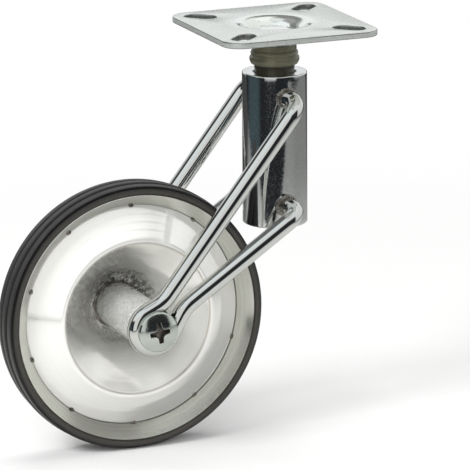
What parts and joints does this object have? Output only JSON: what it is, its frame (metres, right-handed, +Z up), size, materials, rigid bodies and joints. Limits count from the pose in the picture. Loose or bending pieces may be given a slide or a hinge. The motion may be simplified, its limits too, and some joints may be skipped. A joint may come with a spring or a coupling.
{
  "type": "swivel castor",
  "caption": "Plate-mounted swivel castor: square plate, kingpin in a chromed tube, two looped wire fork sides and a dished mirror disc wheel with a rubber tyre.",
  "frame": {"origin": "centre of the mounting plate's top face, on the swivel axis", "axes": "+Z up out of the plate's top face along the swivel axis; the wheel trails towards -X at rest and its axle runs along Y; the dished side of the disc faces -Y"},
  "size_m": [0.1727, 0.076, 0.1933],
  "materials": {
    "zinc_plate": "bright zinc plating, satin",
    "pin_steel": "bright zinc plating",
    "nylon": "greenish natural nylon, slightly translucent",
    "chrome": "polished chrome plating",
    "weld": "chrome plated over rough weld",
    "screw_zinc": "bright blue zinc plating",
    "galvanised": "matte speckled galvanising",
    "mirror_disc": "spun and mirror polished",
    "brushed_rim": "brushed round the hoop",
    "tyre_rubber": "dark grey rubber, satin"
  },
  "bodies": {
    "plate": {"mounting_plate": "zinc_plate", "kingpin": "pin_steel", "thrust_washer": "pin_steel", "pin_washer": "pin_steel", "lock_nut": "pin_steel"},
    "fork": {"swivel_tube": "chrome", "upper_bush": "nylon", "lower_bush": "nylon", "near_fork_wire": "chrome", "far_fork_wire": "chrome", "upper_stub_welds": "weld", "lower_stub_welds": "weld", "axle_screw": "screw_zinc", "axle_barrel": "screw_zinc", "near_axle_washer": "pin_steel", "far_axle_washer": "pin_steel"},
    "wheel": {"hub_tube": "galvanised", "near_hub_bush": "nylon", "far_hub_bush": "nylon", "wheel_disc": "mirror_disc", "hub_welds": "galvanised", "wheel_rim": "brushed_rim", "rim_tacks": "brushed_rim", "tyre": "tyre_rubber"}
  },
  "joints": [
    {"name": "swivel", "type": "hinge", "parent": "plate", "child": "fork", "pos_m": [0, 0, 0], "axis": [0, 0, 1], "continuous": true},
    {"name": "wheel_spin", "type": "hinge", "parent": "fork", "child": "wheel", "pos_m": [-0.0722, 0, -0.1308], "axis": [0, 1, 0], "continuous": true}
  ]
}
